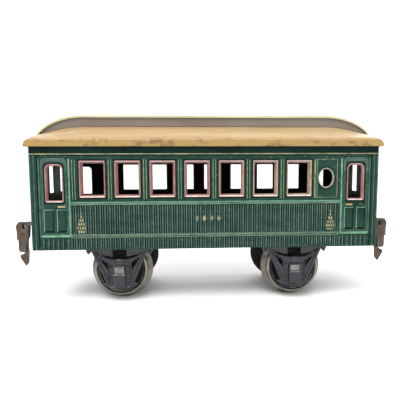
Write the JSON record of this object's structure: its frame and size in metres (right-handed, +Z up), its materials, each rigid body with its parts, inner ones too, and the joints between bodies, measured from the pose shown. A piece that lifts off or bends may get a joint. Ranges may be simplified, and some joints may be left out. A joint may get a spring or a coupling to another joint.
{
  "type": "model passenger coach",
  "caption": "Tinplate toy railway coach with a ribbed body, clerestory lift-off roof, sprung axle guards, spinning wheelsets and swinging hook couplers.",
  "frame": {"origin": "middle of the coach on the plane under the wheel flanges", "axes": "+X along the coach to its right-hand end, +Y across to the back, +Z up"},
  "size_m": [0.2708, 0.076, 0.1246],
  "materials": {
    "green_enamel": "satin, worn",
    "copper_enamel": "satin",
    "black_enamel": "satin",
    "tan_enamel": "satin, worn",
    "brown_enamel": "satin",
    "cream_enamel": "satin",
    "grey_enamel": "satin",
    "bright_steel": "worn",
    "tinplate": "rusty, matt",
    "brass_trim": "worn"
  },
  "bodies": {
    "coach_body": {"side_sheet_front": "green_enamel", "side_sheet_back": "green_enamel", "end_sheet_left": "green_enamel", "end_sheet_right": "green_enamel", "window_frames_front": "copper_enamel", "window_frames_back": "copper_enamel", "door_handles_front": "brass_trim", "door_handles_back": "brass_trim", "floor_pan": "black_enamel", "stretcher_left": "grey_enamel", "stretcher_right": "grey_enamel", "axle_guard_left_front": "grey_enamel", "axle_guard_left_back": "grey_enamel", "axle_guard_right_front": "grey_enamel", "axle_guard_right_back": "grey_enamel", "leaf_spring_left_front": "grey_enamel", "leaf_spring_left_back": "grey_enamel", "leaf_spring_right_front": "grey_enamel", "leaf_spring_right_back": "grey_enamel", "axle_box_left_front": "grey_enamel", "axle_box_left_back": "grey_enamel", "axle_box_right_front": "grey_enamel", "axle_box_right_back": "grey_enamel", "guard_rivets_front": "grey_enamel", "guard_rivets_back": "grey_enamel", "coupler_bracket_left": "grey_enamel", "coupler_bracket_right": "grey_enamel", "coupler_rivet_left": "bright_steel", "coupler_rivet_right": "bright_steel"},
    "roof": {"roof_deck": "tan_enamel", "clerestory_walls": "brown_enamel", "clerestory_cap": "cream_enamel", "roof_clips": "tinplate"},
    "wheelset_left": {"axle_left": "bright_steel", "wheel_tyre_left_front": "bright_steel", "wheel_tyre_left_back": "bright_steel", "wheel_centre_left_front": "black_enamel", "wheel_centre_left_back": "black_enamel"},
    "wheelset_right": {"axle_right": "bright_steel", "wheel_tyre_right_front": "bright_steel", "wheel_tyre_right_back": "bright_steel", "wheel_centre_right_front": "black_enamel", "wheel_centre_right_back": "black_enamel"},
    "drawbar_left_body": {"drawbar_left": "tinplate", "hook_pin_left": "bright_steel"},
    "coupler_hook_left_body": {"coupler_hook_left": "tinplate"},
    "drawbar_right_body": {"drawbar_right": "tinplate", "hook_pin_right": "bright_steel"},
    "coupler_hook_right_body": {"coupler_hook_right": "tinplate"}
  },
  "joints": [
    {"name": "wheelset_left_spin", "type": "hinge", "parent": "coach_body", "child": "wheelset_left", "pos_m": [-0.0568, 0, 0.0202], "axis": [0, 1, 0], "continuous": true},
    {"name": "wheelset_right_spin", "type": "hinge", "parent": "coach_body", "child": "wheelset_right", "pos_m": [0.0568, 0, 0.0202], "axis": [0, 1, 0], "continuous": true},
    {"name": "drawbar_left_yaw", "type": "hinge", "parent": "coach_body", "child": "drawbar_left_body", "pos_m": [-0.112, 0, 0.0472], "axis": [0, 0, 1], "range_deg": [-22, 22]},
    {"name": "drawbar_right_yaw", "type": "hinge", "parent": "coach_body", "child": "drawbar_right_body", "pos_m": [0.112, 0, 0.0472], "axis": [0, 0, 1], "range_deg": [-22, 22]},
    {"name": "hook_left_swing", "type": "hinge", "parent": "drawbar_left_body", "child": "coupler_hook_left_body", "pos_m": [-0.1314, 0, 0.0404], "axis": [0, 1, 0], "range_deg": [-15, 85]},
    {"name": "hook_right_swing", "type": "hinge", "parent": "drawbar_right_body", "child": "coupler_hook_right_body", "pos_m": [0.1314, 0, 0.0404], "axis": [0, -1, 0], "range_deg": [-15, 85]},
    {"name": "roof_lift", "type": "slide", "parent": "coach_body", "child": "roof", "axis": [0, 0, 1], "range_m": [0, 0.05]}
  ]
}
